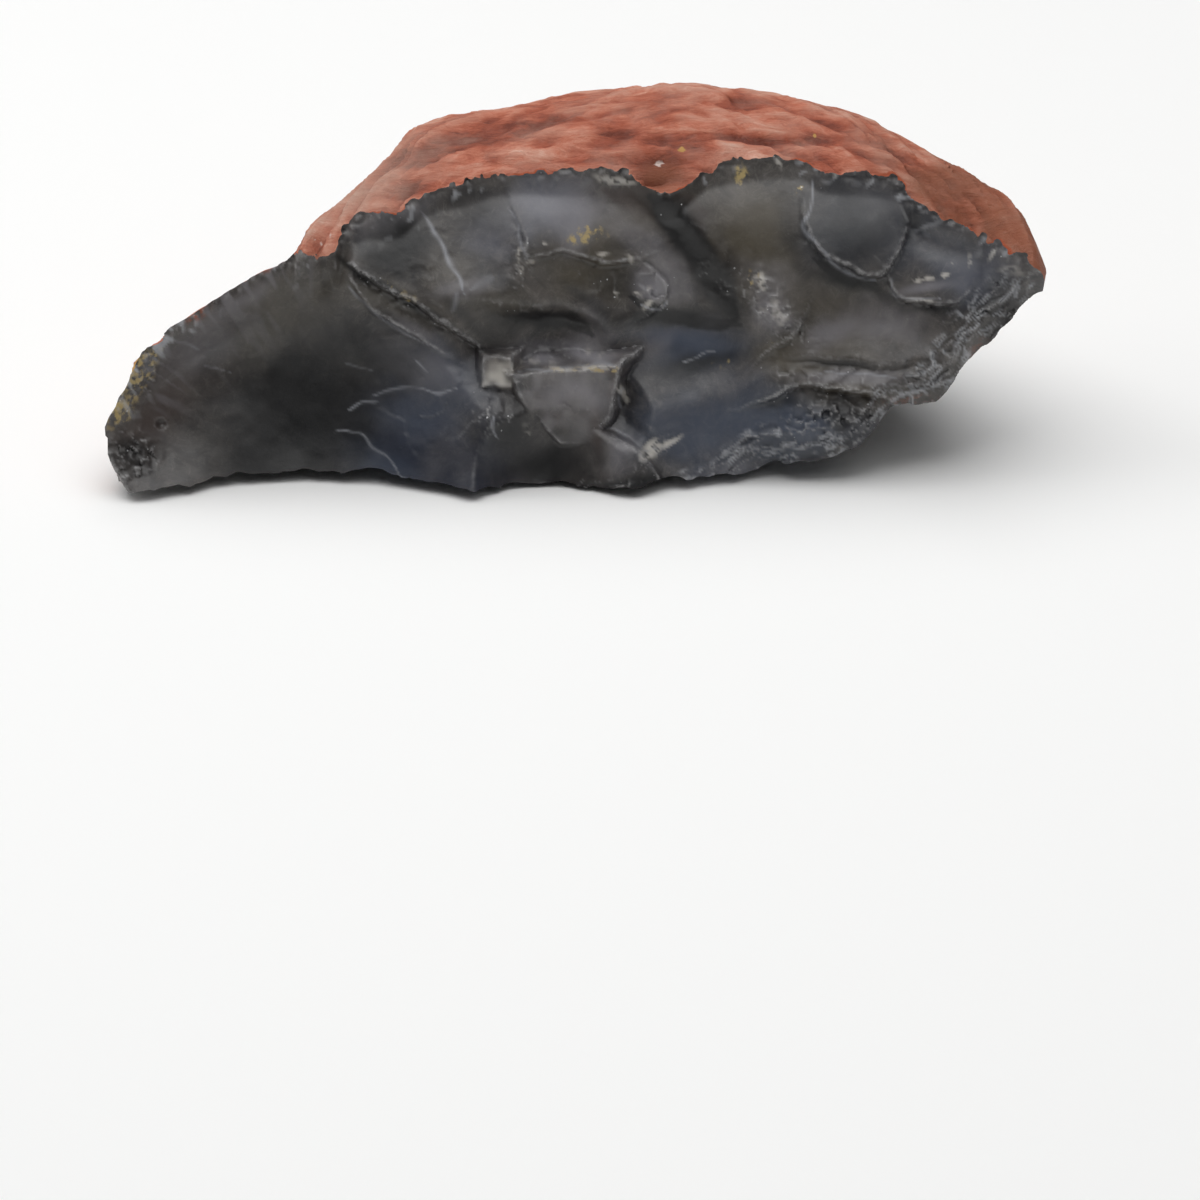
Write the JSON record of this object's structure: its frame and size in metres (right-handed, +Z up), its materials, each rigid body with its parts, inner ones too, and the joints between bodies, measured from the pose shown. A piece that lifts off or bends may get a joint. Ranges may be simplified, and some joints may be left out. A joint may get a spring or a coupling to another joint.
{
  "type": "rough black agate",
  "caption": "Broken half of an agate nodule: glossy dark conchoidal face, rough red rind over the back, small flat resting spot.",
  "frame": {"origin": "centre of the stone's box, on the surface that it rests on", "axes": "+X along the length, +Y into the stone from the broken face, +Z up"},
  "size_m": [0.1127, 0.0526, 0.0404],
  "materials": {
    "agate_stone": "glassy dark grey chalcedony on the broken face, with a rough brick-red rind over the top and back"
  },
  "bodies": {
    "root": {"agate": "agate_stone"}
  },
  "joints": []
}
